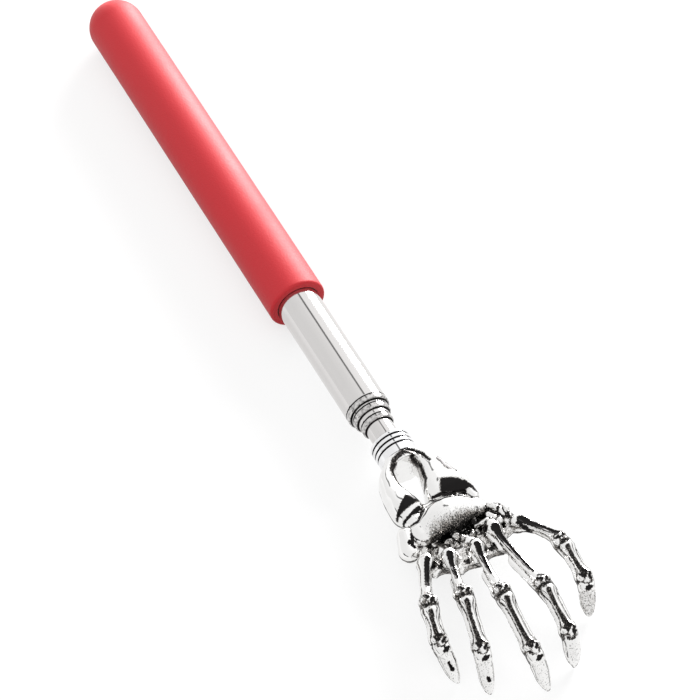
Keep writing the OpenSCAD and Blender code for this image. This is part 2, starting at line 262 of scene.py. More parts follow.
# Foam grip
# Soft closed-cell foam sleeve with a closed round butt, pushed over the outer tube and glued.
# Its skin is matt with fine pores and a powdery bloom where light rakes over it.
grip_low, grip_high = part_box("foam_grip")
grip_r = grip_high.z
face_x = grip_high.x
butt_x = grip_low.x + grip_r
bore_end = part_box("butt_plug")[0].x
grip_bore = outer_r + 0.02 * mm
grip_edge = 0.8 * mm
edge_steps = 8
butt_steps = 20
wall_step = 0.7 * mm
unevenness = 0.06 * mm
long_wave = 9 * mm
short_wave = 4 * mm
# Painted shadow at the edge of the bore, fading out over the face beside it
bore_shadow = 0.6
face_shadow = 0.3
foam_red = (0.49, 0.0035, 0.010)
worn_red = (0.55, 0.0075, 0.017)
foam_bloom = (1.0, 0.82, 0.80, 1.0)


def grip_outline():
    """From the bottom of the bore, out over the front edge and back along the wall to the round butt."""
    wall_x = face_x - grip_edge
    wall_steps = int((wall_x - butt_x) / wall_step)
    butt_turns = [math.pi / 2 * i / butt_steps for i in range(butt_steps)]
    return [
        (bore_end, 0), (bore_end, grip_bore),
        (face_x - grip_edge / 4, grip_bore, bore_shadow), (face_x, grip_bore + grip_edge / 4, face_shadow),
        (face_x, grip_bore + grip_edge / 2),
        *reversed(quarter(face_x, grip_r, grip_edge, edge_steps)),
        *((wall_x - i * wall_step, grip_r) for i in range(1, wall_steps)),
        *((butt_x - grip_r * math.sin(a), grip_r * math.cos(a)) for a in butt_turns),
        (butt_x - grip_r, 0),
    ]


def foam_skin(start):
    """Pores and cells of the foam, slightly paler where it is worn."""
    place = start.make("TexCoord", out="Object")
    pores = start.make("TexVoronoi", {}, {"Vector": place, "Scale": 2600}, out="Distance")
    cells = start.make("TexNoise", {}, {"Vector": place, "Scale": 1400, "Detail": 3})
    wear_and_shade = start.make("TexNoise", {}, {"Vector": place, "Scale": 60, "Detail": 3})
    return {
        "Base Color": with_painted_shade(start, (0.6 * wear_and_shade + 0.4 * cells).tint(foam_red, worn_red)),
        "Roughness": 0.48 + 0.14 * wear_and_shade + 0.08 * cells,
        "Normal": (pores + cells).bump(0.35, 0.06 * mm),
    }


red_foam = finish_of(
    "red_foam", foam_skin, Specular_IOR_Level=0.48, Sheen_Weight=0.15, Sheen_Roughness=0.5,
    Sheen_Tint=foam_bloom)
foam_grip = turned("foam_grip_sleeve", grip_outline(), red_foam)
for point in foam_grip.data.vertices:
    radius = math.hypot(point.co.y, point.co.z)
    if radius > grip_bore + grip_edge:
        swell = noise.noise(point.co / long_wave) + noise.noise(point.co / short_wave) / 2
        point.co -= Vector((0, *point.co.yz)) / radius * unevenness * (0.5 + swell / 3)
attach(foam_grip, "handle")
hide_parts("foam_grip")

# Second, third and fourth tubes
# The same drawn and polished tube in three thinner sizes. Each tail is turned in, and two beads rolled
# into it hold the friction shims; the fourth tube ends plain, under the wrist ferrule.
inner_stages = ("second", "third", "fourth")
bead_h = 0.22 * mm
bead_w = 0.8 * mm
shim_room = 10.4 * mm
tail_t = 0.5 * mm
tail_depth = 1.0 * mm


def tail_outline(tail, radius):
    """From the bore over the turned-in tail and the two beads to the wall."""
    bore = radius - tube_wall
    bead_r = radius + bead_h
    lead = tail + bead_w + shim_room
    return [
        (tail + tail_t, bore), (tail + tail_t, bore - tail_depth), (tail, bore - tail_depth),
        (tail, radius), (tail + bead_w / 4, bead_r), (tail + bead_w, bead_r), (tail + bead_w, radius),
        (lead, radius), (lead, bead_r), (lead + bead_w * 3 / 4, bead_r), (lead + bead_w, radius),
    ]


for step, stage in enumerate(inner_stages, 1):
    low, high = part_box(stage + "_tube")
    radius = outer_r - step * nest_step
    plain_end = [(high.x, radius), (high.x, radius - tube_wall)]
    front = plain_end if stage == "fourth" else rolled_mouth(high.x, radius)
    inner_tube = turned(f"polished_{stage}_tube", tail_outline(low.x, radius) + front, polished_steel)
    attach(inner_tube, stage + "_stage")
    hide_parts(stage + "_tube")

# Friction shims
# Half-round leaves rolled from spring brass strip, two on each inner tube's tail, between its beads.
# They press on the tube around them, so that a pulled-out tube stays where it is put.
bright_brass = (0.72, 0.50, 0.20)
rubbed_brass = (0.58, 0.38, 0.14)


def rubbing_marks(start):
    """Lines along the leaf, from the tube that slides over it."""
    place = start.make("TexCoord", out="Object")
    along = start.make("Mapping", {}, {"Vector": place, "Scale": (200, 5000, 5000)})
    rubbed = start.make("TexNoise", {}, {"Vector": along, "Scale": 1, "Detail": 3})
    return {
        "Base Color": rubbed.tint(bright_brass, rubbed_brass),
        "Roughness": 0.2 + 0.25 * rubbed,
    }


spring_brass = finish_of("spring_brass", rubbing_marks, Metallic=1.0)
for stage in inner_stages:
    for half in ("upper", "lower"):
        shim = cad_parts[f"{stage}_shim_{half}"].data
        shim.materials.clear()
        shim.materials.append(spring_brass)

# Wrist ferrule
# Turned and chromed collar with three grooves around it, darkened with painted shade.
# It is glued over the end of the fourth tube and covers its joint with the hand.
ferrule_x, shoulder_x = (corner.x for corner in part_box("wrist_ferrule"))
ferrule_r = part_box("wrist_ferrule")[1].z
ferrule_bore = outer_r - 3 * nest_step + 0.02 * mm
ferrule_edge = 0.5 * mm
groove_count = 3
groove_w = 0.5 * mm
groove_depth = 0.4 * mm
groove_pitch = 1.4 * mm
# Painted shade on the grooves' edges; their bottoms get full painted shade
groove_edge_shade = 0.4
bright_chrome = (0.92, 0.92, 0.925)
hazy_chrome = (0.82, 0.82, 0.83)


def ferrule_outline():
    """From the bore over the rounded rear edge and the grooves to the shoulder against the hand."""
    rear_edge = reversed(quarter(ferrule_x, ferrule_r, ferrule_edge))
    outline = [(ferrule_x, ferrule_bore), *((2 * ferrule_x - x, r) for x, r in rear_edge)]
    bottom = ferrule_r - groove_depth
    soft = groove_w / 4
    for i in range(groove_count):
        x = ferrule_x + ferrule_edge + groove_w + i * groove_pitch
        outline += [
            (x - soft, ferrule_r), (x, ferrule_r - soft, groove_edge_shade), (x + soft / 2, bottom, 1),
            (x + groove_w - soft / 2, bottom, 1), (x + groove_w, ferrule_r - soft, groove_edge_shade),
            (x + groove_w + soft, ferrule_r),
        ]
    return [*outline, (shoulder_x, ferrule_r), (shoulder_x, ferrule_bore)]


def chrome_skin(start):
    """Bright plate with a slight wave and a little haze."""
    place = start.make("TexCoord", out="Object")
    wave = start.make("TexNoise", {}, {"Vector": place, "Scale": 260, "Detail": 2})
    haze = start.make("TexNoise", {}, {"Vector": place, "Scale": 900, "Detail": 4, "Roughness": 0.65})
    return {
        "Base Color": with_painted_shade(start, haze.tint(bright_chrome, hazy_chrome)),
        "Roughness": 0.03 + 0.09 * haze.rise(0.4, 0.8),
        "Normal": (wave + 0.3 * haze).bump(0.12, 0.05 * mm),
    }


chrome_collar = finish_of("chrome_collar", chrome_skin, Metallic=1.0)
wrist_ferrule = turned("chromed_ferrule", ferrule_outline(), chrome_collar)
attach(wrist_ferrule, "fourth_stage")
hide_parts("wrist_ferrule")

# Skeleton hand
# One die casting, tumbled and chromed: two forearm bones, the carpal arch and five digits with claws.
# Its hollows, corners and many lines are darkened: partly plating left dark where tumbling can't reach,
# partly painted shade and painted dark reflections. Its spigot is glued into the fourth tube, and the five
# claws rest on the table. Sizes here are in millimetres from the hand's shoulder.
table_z = grip_low.z / mm
spigot_len = 8.0
hand_low = (-spigot_len - 1, -19.5, table_z - 0.6)
hand_high = (71.5, 26.5, 8.2)
grain = 0.2
clear_air = 9.0
lump_room = 2.0
corner_reach = 0.3
cut_reach = 0.2
nick_run = 0.1
fine_run = 0.12
close_run = 0.15
soft_run = 0.3


def bone_axes(p, q):
    """Directions along a bone, across it to its left and over it."""
    axis = (q - p) / np.linalg.norm(q - p)
    side = np.cross((0, 0, 1), axis) / np.hypot(*axis[:2])
    return axis, side, np.cross(axis, side)


def fading(distance, reach):
    """1 close to a surface, fading to 0 at 1.3 times the reach from it."""
    return np.clip(1.3 - distance / reach, 0, 1)


class Casting:
    """Metal as a grid of distances from its surface, below zero inside. Lumps added to it run together.
    A second grid holds how dark the surface is painted, from 0 to 1, with painted shade and tarnish. A lump
    is the cells around it, and the distance of each from it."""

    def __init__(self, low, high):
        self.axes = [np.arange(a, b, grain) for a, b in zip(low, high)]
        self.depth = np.full([len(axis) for axis in self.axes], clear_air, np.float32)
        self.shade_and_tarnish = np.zeros_like(self.depth)

    def box(self, low, high):
        """The cells inside a box, and their x, y and z."""
        limits = zip(self.axes, low, high)
        cells = tuple(slice(*np.searchsorted(axis, (a, b))) for axis, a, b in limits)
        places = (axis[span] for axis, span in zip(self.axes, cells))
        return cells, np.meshgrid(*places, indexing="ij", sparse=True)

    def oval(self, centre, radii):
        """An oval lump."""
        centre = np.asarray(centre)
        radii = np.broadcast_to(radii, 3)
        cells, at = self.box(centre - radii - lump_room, centre + radii + lump_room)
        share = np.sqrt(sum(((a - c) / r) ** 2 for a, c, r in zip(at, centre, radii)))
        return cells, (share - 1) * min(radii)

    def limb(self, p, q, wide, high, square=2, bend=0.0):
        """A bone from p to q. Its half widths, its half heights and its bend to its left are each one
        number, or several at even steps along it."""
        p, q = np.asarray(p), np.asarray(q)
        wide, high, bend = np.broadcast_arrays(*(np.atleast_1d(size) for size in (wide, high, bend)))
        length = np.linalg.norm(q - p)
        room = max(*wide, *high, 0) + lump_room
        cells, at = self.box(np.minimum(p, q) - room, np.maximum(p, q) + room)
        along, left, over = (
            sum((a - c) * v for a, c, v in zip(at, p, way)) for way in bone_axes(p, q))
        inside = np.clip(along, 0, length)
        steps = np.linspace(0, length, len(wide))
        half_w = np.interp(inside, steps, wide)
        half_h = np.interp(inside, steps, high)
        thin = np.minimum(half_w, half_h)
        shares = (
            (left - np.interp(inside, steps, bend)) / half_w, over / half_h, (along - inside) / thin)
        return cells, (sum(np.abs(share) ** square for share in shares) ** (1 / square) - 1) * thin

    def patch(self, *corners):
        """A straight-sided patch of the hand's back, from its corners as seen from above, anticlockwise."""
        corners = np.array(corners)
        low = (*corners.min(0) - lump_room, 0)
        high = (*corners.max(0) + lump_room, clear_air)
        cells, (x, y, z) = self.box(low, high)
        sides = [
            ((x - a) * (d - b) - (y - b) * (c - a)) / np.hypot(c - a, d - b)
            for (a, b), (c, d) in zip(corners, np.roll(corners, -1, 0))
        ]
        return cells, np.maximum.reduce(sides) + 0 * z

    def ring(self, centre, axis, radius, half_width):
        """A round wire bent around an axis."""
        cells, at = self.box(centre - radius - lump_room, centre + radius + lump_room)
        along = sum((a - c) * v for a, c, v in zip(at, centre, axis))
        out = np.sqrt(sum((a - c) ** 2 for a, c in zip(at, centre)) - along ** 2 + 1e-9)
        return cells, np.hypot(out - radius, along) - half_width

    def add(self, lump, run, corner_shade=0.0):
        """Joins a lump on, with a fillet of about the run, and paints shade into the corner where it joins.
        """
        cells, distance = lump
        old = self.depth[cells]
        share = np.clip(0.5 + (old - distance) / (2 * run), 0, 1)
        corner = corner_shade * fading(np.hypot(old, distance), corner_reach)
        self.shade_and_tarnish[cells] = np.maximum(self.shade_and_tarnish[cells] * (distance > old), corner)
        self.depth[cells] = old + (distance - old) * share - run * share * (1 - share)

    def cut(self, lump, run, dark=1.0):
        """Takes a lump away, with an edge rounded by about the run, and paints shade over what it bares."""
        cells, distance = lump
        old = self.depth[cells]
        share = np.clip(0.5 - (old + distance) / (2 * run), 0, 1)
        self.depth[cells] = old - (old + distance) * share + run * share * (1 - share)
        self.darken(lump, dark, cut_reach)

    def darken(self, lump, dark, reach):
        """Darkens what lies in a lump, and fades out over the reach around it."""
        cells, distance = lump
        self.shade_and_tarnish[cells] = np.maximum(self.shade_and_tarnish[cells], dark * fading(distance, reach))

    def groove(self, line):
        """Cuts a round groove along a line, whose points are x, y, z and the groove's half width."""
        for (*p, near), (*q, far) in pairwise(line):
            self.cut(self.limb(p, q, (near, far), (near, far)), close_run)

    def shadow(self, line, high, dark, reach):
        """Paints shadow on a strip along a line, whose points are x, y, z and the strip's half width."""
        for (*p, near), (*q, far) in pairwise(line):
            self.darken(self.limb(p, q, (near, far), high), dark, reach)


hand = Casting(hand_low, hand_high)

# The cuff and the spigot are turned. The two forearm bones leave the cuff, part around a window and end in
# rolled heads, each with a dark line of painted shade across it; the radius, on the thumb's side, is the
# broader.
spigot_root = 2.0
spigot_r = 3.09
cuff_len = 2.4
cuff_inset = 0.03
forearm_stations = (0, 3.5, 8, 12, 15.5)
head_roll = 4.8


def flowing(x, stations, values, ease=1.8):
    """Values given at stations along x, run smoothly into each other."""
    step = 0.1
    overrun = 5
    fine = np.arange(stations[0] - overrun, stations[-1] + overrun, step)
    bell = np.hanning(2 * int(ease / step) + 1)
    level = np.pad(np.interp(fine, stations, values), len(bell) // 2, "edge")
    return np.interp(x, fine, np.convolve(level, bell / bell.sum(), "valid"))


cells, (x, y, z) = hand.box((-spigot_len - 1, -8, -8), (6, 8, 8))
out = np.hypot(y, z)
spigot_mid = (spigot_root - spigot_len) / 2
spigot_half = (spigot_root + spigot_len) / 2
cuff_half = cuff_len / 2
hand.add((cells, np.maximum(out - spigot_r, np.abs(x - spigot_mid) - spigot_half)), 0.1)
hand.add((cells, np.maximum(out - ferrule_r / mm + cuff_inset, np.abs(x - cuff_half) - cuff_half)), 0.2)

# A forearm bone's side, its centre line, half widths and half heights at the stations, and its head's start
radius_bone = (1, (2.2, 4.8, 5.3, 5.3, 5.5), (2.5, 2.9, 4.1, 5.5, 6.4), (4.5, 4.2, 4.4, 4.9, 4.9), 11.8)
ulna_bone = (-1, (2.2, 6.0, 6.7, 6.2, 5.6), (2.5, 2.2, 2.5, 3.3, 4.0), (4.5, 3.8, 3.9, 4.4, 4.4), 12.6)
for side, centres, widths, heights, head_x in (radius_bone, ulna_bone):
    cells, (x, y, z) = hand.box((0, -13, -7), (20, 14, 8))
    centre = side * flowing(x, forearm_stations, centres)
    half_w = flowing(x, forearm_stations, widths)
    half_h = flowing(x, forearm_stations, heights)
    end = np.maximum(x - head_x, 0) / head_roll + np.maximum(-x, 0)
    across = np.abs((y - centre) / half_w) ** 3
    around = np.sqrt((z / half_h) ** 2 + end ** 2) ** 3
    hand.add((cells, (np.cbrt(across + around) - 1) * np.minimum(half_w, half_h)), 0.5)
styloid = hand.limb((12.0, 9.3, 0.0), (18.0, 10.2, 0.2), (2.4, 1.5), (4.2, 2.4))
hand.add(styloid, 0.6)
head_bridge = hand.limb((16.0, -3.0, 0.6), (16.0, 1.5, 0.6), 1.6, 1.8)
hand.add(head_bridge, 0.4, 1.0)

# Painted shade on the forearm: two patches behind the heads, the window's rim and inner wall, two grooves
# that are cut, and shadows along the bones' outlines
radius_patch = hand.patch((14.9, 3.0), (15.7, 7.0), (15.6, 9.6), (14.6, 9.2), (13.4, 7.4), (12.1, 4.3))
hand.darken(radius_patch, 1.0, 0.4)
hand.darken(radius_patch, 0.5, 1.2)
ulna_patch = hand.patch((15.4, -9.0), (14.8, -6.4), (14.2, -2.9), (13.2, -3.5), (12.3, -4.9))
hand.darken(ulna_patch, 1.0, 0.6)
window_rim = (
    (13.8, -3.1, 4.0, 0.10), (12.6, -0.9, 4.3, 0.12), (9.4, 1.5, 4.3, 0.15), (5.5, 2.3, 4.2, 0.15),
    (1.9, 1.4, 4.3, 0.3), (0.8, 0.0, 4.4, 0.7), (1.6, -2.8, 3.8, 0.55), (3.2, -4.4, 3.6, 0.3),
    (6.6, -5.2, 3.6, 0.15), (8.8, -4.8, 3.6, 0.1),
)
window_wall = ((2.2, 1.6, 3.2, 0.9), (6.2, 1.9, 2.6, 0.9), (8.6, 1.0, 0.4, 0.9))
radius_groove = ((14.6, 0.3, 2.6, 0.2), (15.1, 2.3, 3.5, 0.35), (16.2, 8.5, 2.3, 0.25))
window_brow = ((0.3, 0.9, 4.95, 0.3), (1.5, 2.7, 4.6, 0.45), (2.9, 3.9, 4.35, 0.45), (5.2, 4.6, 4.4, 0.25))
radius_edge = ((5.0, 6.7, 4.0, 0.2), (9.2, 7.6, 4.4, 0.5), (11.3, 8.9, 4.4, 0.15))
styloid_edge = ((14.6, 9.2, 3.7, 0.35), (16.1, 10.5, 2.9, 0.35), (17.8, 11.2, 2.2, 0.2))
ulna_line = ((15.9, -3.6, 2.8, 0.2), (16.4, -5.0, 2.7, 0.4), (17.2, -7.2, 1.8, 0.5), (17.2, -8.3, 0.2, 0.3))
hand.shadow(window_rim, 1.5, 0.65, 0.35)
hand.shadow(window_wall, 1.2, 0.45, 0.6)
for line in (radius_groove, window_brow):
    hand.groove(line)
for line in (radius_edge, styloid_edge, ulna_line):
    hand.shadow(line, 0.7, 0.85, 0.25)

# The carpal arch is one smooth barrel across the wrist; two links behind it carry it on the forearm bones.
# Its front lower side is painted dark, as painted shade and dark reflection, towards the corner in front of
# it.
arch_x = 20.7
arch_y = 1.4
arch_z = 1.8
arch_half = 7.2
arch_sweep = 0.8
arch_drop = 1.5
arch_tilt = 0.3
barrel_r = 4.9
barrel_taper = 1.5
link_r = 2.7


def carpal_point(u):
    """A point of the carpal arch's centre line, from -1 on the little finger's side to 1."""
    return np.array([
        arch_x + arch_sweep * u * u,
        arch_y + arch_half * u,
        arch_z - arch_drop * u * u + arch_tilt * u,
    ])


for side in (-1, 1):
    hand.add(hand.limb((13.5, side * 5.8, -0.8), carpal_point(side * 0.9), link_r, link_r), soft_run, 1.0)
cells, (x, y, z) = hand.box((13, -13, -6), (28, 16, 8.2))
u = np.clip((y - arch_y) / arch_half, -1, 1)
mid_x, mid_y, mid_z = carpal_point(u)
ahead = x - mid_x
above = z - mid_z
out = np.sqrt(ahead ** 2 + (y - mid_y) ** 2 + above ** 2)
skin = out - (barrel_r - barrel_taper * u * u)
hand.add((cells, skin), 0.25, 1.0)
# Painted shade and dark reflection, darker the more the barrel's skin faces forwards and down
wear_and_shade = np.clip(0.40 + 0.35 * (np.arctan2(ahead, above) - 0.45) / (0.95 - 0.35 * u), 0, 1)
wear_and_shade *= np.clip((1.25 - np.abs(u - 0.1)) / 0.3, 0, 1) * (skin < grain)
hand.shade_and_tarnish[cells] = np.maximum(hand.shade_and_tarnish[cells], wear_and_shade)
hand.groove((
    (17.0, -1.6, 4.1, 0.28), (17.9, 0.7, 5.7, 0.28), (18.2, 4.1, 5.6, 0.28), (17.6, 6.4, 4.5, 0.28),
    (16.9, 8.3, 2.5, 0.28),
))

# Small carpal bones lie in the corner between the arch and the roots of the digits. The pisiform has two
# nicks, the trapezium is knobbly and carries the thumb, and pebbles fill the rest, half darkened with
# painted shade.
thumb_root = np.array([28.6, 14.4, 2.0])
trapezium = np.array([24.4, 12.4, 1.4])
trapezium_knobs = (
    ((-1.4, -1.0, 1.6), (0.4, -0.2, 2.3), 0.9), ((-0.2, 1.0, 1.5), (1.6, 1.7, 2.2), (0.7, 1.0)),
    ((0.9, 0.3, 2.4), (2.6, 0.6, 1.8), (0.8, 0.5)), ((2.2, -0.6, 1.4), (3.4, -0.9, 1.6), (0.6, 0.9)),
    ((0.8, -2.4, 1.2), (2.2, -1.6, 1.8), (1.0, 0.7)), ((2.9, 0.9, 0.9), (3.6, 1.9, 1.2), 0.8),
)
pebble_count = 15
pisiform = hand.limb((20.2, -9.4, 0.2), (23.8, -10.2, -1.3), (2.2, 2.7), (2.2, 2.7))
hand.add(pisiform, soft_run, 0.8)
hand.cut(hand.limb((21.6, -8.6, 2.2), (23.2, -9.2, 1.6), (0.15, 0.4), 0.4), close_run)
hand.cut(hand.limb((23.0, -9.9, 1.5), (24.6, -9.3, 0.9), (0.4, 0.15), 0.4), close_run)
hand.add(hand.limb(trapezium, thumb_root - (0, 0, 0.8), (2.4, 1.9), (2.4, 1.9)), soft_run, 0.8)
for start, stop, size in trapezium_knobs:
    hand.add(hand.limb(trapezium + start, trapezium + stop, size, size), fine_run, 1.0)
hand.darken(hand.oval(trapezium + (1.0, -0.2, 1.8), (3.6, 3.2, 2.4)), 0.33, 0.4)
index_ridge = hand.limb((25.7, 6.4, 1.4), (26.8, 8.6, 3.4), 0.7, 0.8)
hand.add(index_ridge, close_run, 1.0)
for i in range(pebble_count):
    u = -0.92 + 0.12 * i + 0.03 * math.sin(5.1 * i)
    place = carpal_point(u) + (6.3 + 0.8 * math.sin(2.4 * i), 0, -0.7 + 0.6 * math.cos(1.7 * i))
    size = (
        1.2 + 0.4 * math.sin(1.1 * i),
        0.9 + 0.35 * math.sin(2.0 * i),
        1.1 + 0.3 * math.cos(2.9 * i),
    )
    pebble = hand.oval(place, size)
    hand.add(pebble, close_run, 1.0)
    hand.darken(pebble, 0.46, 0.3)

# Five digits of three bones each. A digit has its root, the reach of its bones as seen from above and their
# headings in degrees. The bones run from the root down to a claw tip just over the table.
digits = {
    "thumb": (thumb_root, (13.5, 9.6, 6.8), (33, 6, -20)),
    "index": ((27.4, 8.8, 3.0), (22.2, 11.9, 5.2), (7, 1, -14)),
    "middle": ((30.8, 3.0, 3.2), (16.6, 14.4, 7.8), (-4, 0, 1)),
    "ring": ((30.2, -3.7, 3.0), (13.9, 12.6, 8.3), (-11, -10, -14)),
    "little": ((28.7, -8.5, 2.2), (14.5, 8.2, 8.4), (-25, -10, 4)),
}
knuckle_rise = 0.8
second_share = 0.4
claw_lift = 0.3
bone_steps = 64

# The first two bones: how far each bows to its left, how far its flank stands out at its waist, and the
# painted dark reflection streaked along the first bone's back, as its shift, its start, its end as a share,
# and its half widths
bone_bulk = (1.0, 0.95)
bone_gap = (1.2, 0.5)
knob_r = 2.1
waist_r = 1.15
knob_flank = 0.3
flank_drop = 0.7
# Painted shade in the corners of the shaft, on the first bone and on the second
shaft_corner_shade = (0.6, 0.75)
bows = {
    "thumb": (1.0, 0.3), "index": (-0.6, 0.4), "middle": (-0.5, 0.0), "ring": (-0.5, 0.1),
    "little": (-0.5, 0.0),
}
waist_flanks = {
    "thumb": (0.3, 0.85), "index": (0.7, 0.85), "middle": (0.55, 0.85), "ring": (0.4, 0.85),
    "little": (0.35, 0.85),
}
first_streaks = {
    "thumb": (0.15, 1.0, 0.85, (1.4, 1.6, 0.4)),
    "index": (0.05, 2.4, 0.80, (1.4, 0.65, 0.2)),
    "middle": (-0.1, 1.0, 0.62, (0.8, 0.55, 0.15)),
    "ring": (0.0, 1.0, 0.60, (0.8, 0.5, 0.3)),
    "little": (0.3, 1.0, 0.62, (0.5, 0.5, 0.4)),
}
second_streak_shift = -0.5
second_streak_ends = (1.2, 1.4)
second_streak_widths = (0.6, 0.27, 0.72)
streak_waist = (0.3, 0.45)
streak_dark = (1.0, 0.66)
channel_deep = 0.45
channel_above = knob_r + 0.7

# The claws: their nicks, each from one place along and left of the bone to another
knob_nicks = ((0.9, 1.0, 1.6, 0.2), (1.5, -0.4, 1.0, 0.3))
claw_nicks = {
    "thumb": knob_nicks, "index": (), "middle": knob_nicks, "ring": (*knob_nicks, (5.9, 0.1, 6.6, 0.3)),
    "little": (*knob_nicks, (4.3, -0.3, 6.2, -0.15)),
}
knob_end = 2.0
knob_top = 1.7
blade_top = 0.75
thumb_haze = 0.4
claw_haze = 0.33


def heading(degrees):
    """A level direction, turned from the X axis towards the thumb's side."""
    return np.array([math.cos(math.radians(degrees)), math.sin(math.radians(degrees)), 0])


def joints_of(root, reach, splay):
    """Root, knuckle, second joint and claw tip of a digit."""
    root = np.array(root)
    drop = np.array([0, 0, root[2] + knuckle_rise - table_z - claw_lift])
    knuckle = root + reach[0] * heading(splay[0]) + (0, 0, knuckle_rise)
    second = knuckle + reach[1] * heading(splay[1]) - second_share * drop
    return root, knuckle, second, second + reach[2] * heading(splay[2]) - (1 - second_share) * drop


def beside(place, axes, along, left, over):
    """A place moved along a bone, to its left and over it."""
    return place + along * axes[0] + left * axes[1] + over * axes[2]


def channel(p, q, top, half, shift):
    """A hollow along a bone's back. The bone's height, the hollow's half width and its shift to the left are
    given at even steps."""
    lift = channel_above * bone_axes(p, q)[2]
    high = channel_above - top + channel_deep
    half = half / np.sqrt(1 - ((channel_above - top) / high) ** 2)
    return hand.limb(p + lift, q + lift, half, high, bend=shift)


def add_long_bone(name, k, near, far):
    """A digit's first bone, where k is 0, or its second, between two joints: a waisted shaft on a wider
    flank, two nicked lobes and a groove at its far joint, painted with shade, and a dark streak of painted
    reflection along its back."""
    axes = bone_axes(near, far)
    axis, side, over = axes
    start = near + bone_gap[k] * axis
    length = np.linalg.norm(far - start)
    along = np.linspace(0, length, bone_steps)
    swell = np.exp(-((along - 0.8) / 1.7) ** 2) + np.exp(-((length - 1.1 - along) / 1.6) ** 2)
    shaft_r = bone_bulk[k] * (waist_r + (knob_r - waist_r) * swell)
    bow = bows[name][k] * 4 * along / length * (1 - along / length)
    flank = knob_flank + (waist_flanks[name][k] - knob_flank) * np.clip(1 - swell, 0, 1)
    lean = knob_flank - flank if k == 0 else 0.0
    low = flank_drop * over
    lower = hand.limb(start - low, far - low, shaft_r + flank, 0.7 * shaft_r, 3, bow + lean)
    shaft = hand.limb(start, far, 0.95 * shaft_r, shaft_r, bend=bow)
    hand.add(lower, fine_run, 0.6)
    hand.add(shaft, close_run, shaft_corner_shade[k])
    for lobe in (-1, 1):
        hand.add(hand.oval(beside(far, axes, -0.9, lobe, 0.75), 1.1 * bone_bulk[k]), fine_run, 0.6)
        nick = beside(far, axes, 0.4 * lobe - 0.9, 0.85 * lobe, 2.0)
        slant = 0.45 * axis - 0.35 * lobe * side
        hand.cut(hand.limb(nick - slant, nick + slant, (0.12, 0.36), 0.4), nick_run)
    neck_nick = (beside(far, axes, -2.3, -0.4, 2.0), beside(far, axes, -1.8, 0.5, 2.0))
    hand.cut(hand.limb(*neck_nick, (0.15, 0.4), 0.45), fine_run)
    hand.cut(hand.ring(far + 0.2 * axis, axis, 2.15, 0.24), fine_run, 0.7)
    if k == 0:
        shift, begin, end_share, widths = first_streaks[name]
        end = end_share * length
    else:
        shift = second_streak_shift
        begin = second_streak_ends[0]
        end = length - second_streak_ends[1]
        widths = second_streak_widths
    run = np.linspace(begin, end, bone_steps)
    half = np.interp(np.linspace(0, 1, bone_steps), (0, streak_waist[k], 1), widths)
    top = np.interp(run, along, shaft_r)
    line = shift + np.interp(run, along, bow)
    hand.cut(channel(start + begin * axis, start + end * axis, top, half, line), nick_run, streak_dark[k])


def add_claw(name, near, tip):
    """A digit's last bone: a knob that runs out into a flat blade with a blunt point. The index claw has
    no knob."""
    axes = bone_axes(near, tip)
    axis = axes[0]
    start = near + 0.4 * axis
    stop = tip - 0.5 * axis
    length = np.linalg.norm(stop - start)
    share = np.linspace(0, 1, bone_steps)
    knob = np.exp(-((share * length - 1.0) / 1.35) ** 4)
    point = np.clip(1 - (np.maximum(share - 0.58, 0) / 0.46) ** 2, 0.05, 1) ** 0.7
    blade_w = (2.05 - 0.45 * np.maximum(share - 0.3, 0) / 0.7) * point
    blade_t = (1.1 - 0.45 * share) * point
    thick = blade_t + 0.3 if name == "index" else np.maximum(1.75 * knob, blade_t)
    hand.add(hand.limb(start, stop, np.maximum(2.1 * knob, blade_w), thick, square=3), 0.2, 0.8)
    haze = thumb_haze if name == "thumb" else claw_haze
    hand.darken(hand.limb(start + 3.0 * axis, stop, 2.5, 1.8), haze, 0.3)
    if name != "index":
        hand.cut(hand.ring(start + 2.5 * axis, axis, 2.1, 0.22), fine_run, 0.4)
    for begin, begin_left, end, end_left in claw_nicks[name]:
        top = knob_top if begin < knob_end else blade_top
        nick = (beside(start, axes, begin, begin_left, top), beside(start, axes, end, end_left, top))
        hand.cut(hand.limb(*nick, (0.1, 0.28), 0.35), nick_run)


roots = []
for name, (root, reach, splay) in digits.items():
    joints = joints_of(root, reach, splay)
    base = carpal_point(np.clip((root[1] - arch_y) / arch_half, -1, 1)) + (1, 0, -2.6)
    hand.add(hand.limb(base, joints[0] - (0, 0, 2.0), 1.8, 1.6), soft_run, 0.8)
    roots.append((base, joints[0] + 3.2 * heading(splay[0]) - (0, 0, 1.4)))
    add_long_bone(name, 0, joints[0], joints[1])
    add_long_bone(name, 1, joints[1], joints[2])
    add_claw(name, joints[2], joints[3])
thumb_streak = ((30.6, 14.5, 3.5, 0.15), (32.4, 16.0, 2.7, 0.25), (34.3, 17.2, 2.1, 0.1))
hand.shadow(thumb_streak, 0.6, 0.8, 0.25)

# Thin webs tie the digits' roots together, half darkened with painted shade. Each but the thumb's has a
# hollow front edge and a dark pocket of painted shade.
web_reach = (0, 3.9, 3.2, 2.4)
for reach, ((base, front), (next_base, next_front)) in zip(web_reach, pairwise(roots)):
    web_back = (base + next_base) / 2
    web_front = (front + next_front) / 2 + (reach, 0, 0)
    half = np.linalg.norm(next_front - front) / 2
    hand.add(hand.limb(web_back, web_front - (0.6, 0, 0), half, 1.1), soft_run, 0.6)
    hand.darken(hand.limb(web_back, web_front, max(half - 1.5, 0.5), 1.3), 0.42, 0.5)
    if reach:
        hand.cut(hand.oval(web_front + (1.2, 0, 0), (2.2, max(half - 0.9, 0.6), 3.0)), soft_run, 0.5)
        hand.cut(hand.oval(web_front + (-2.6, 0, 1.6), (1.3, max(half - 2.5, 0.5), 1.0)), 0.25)

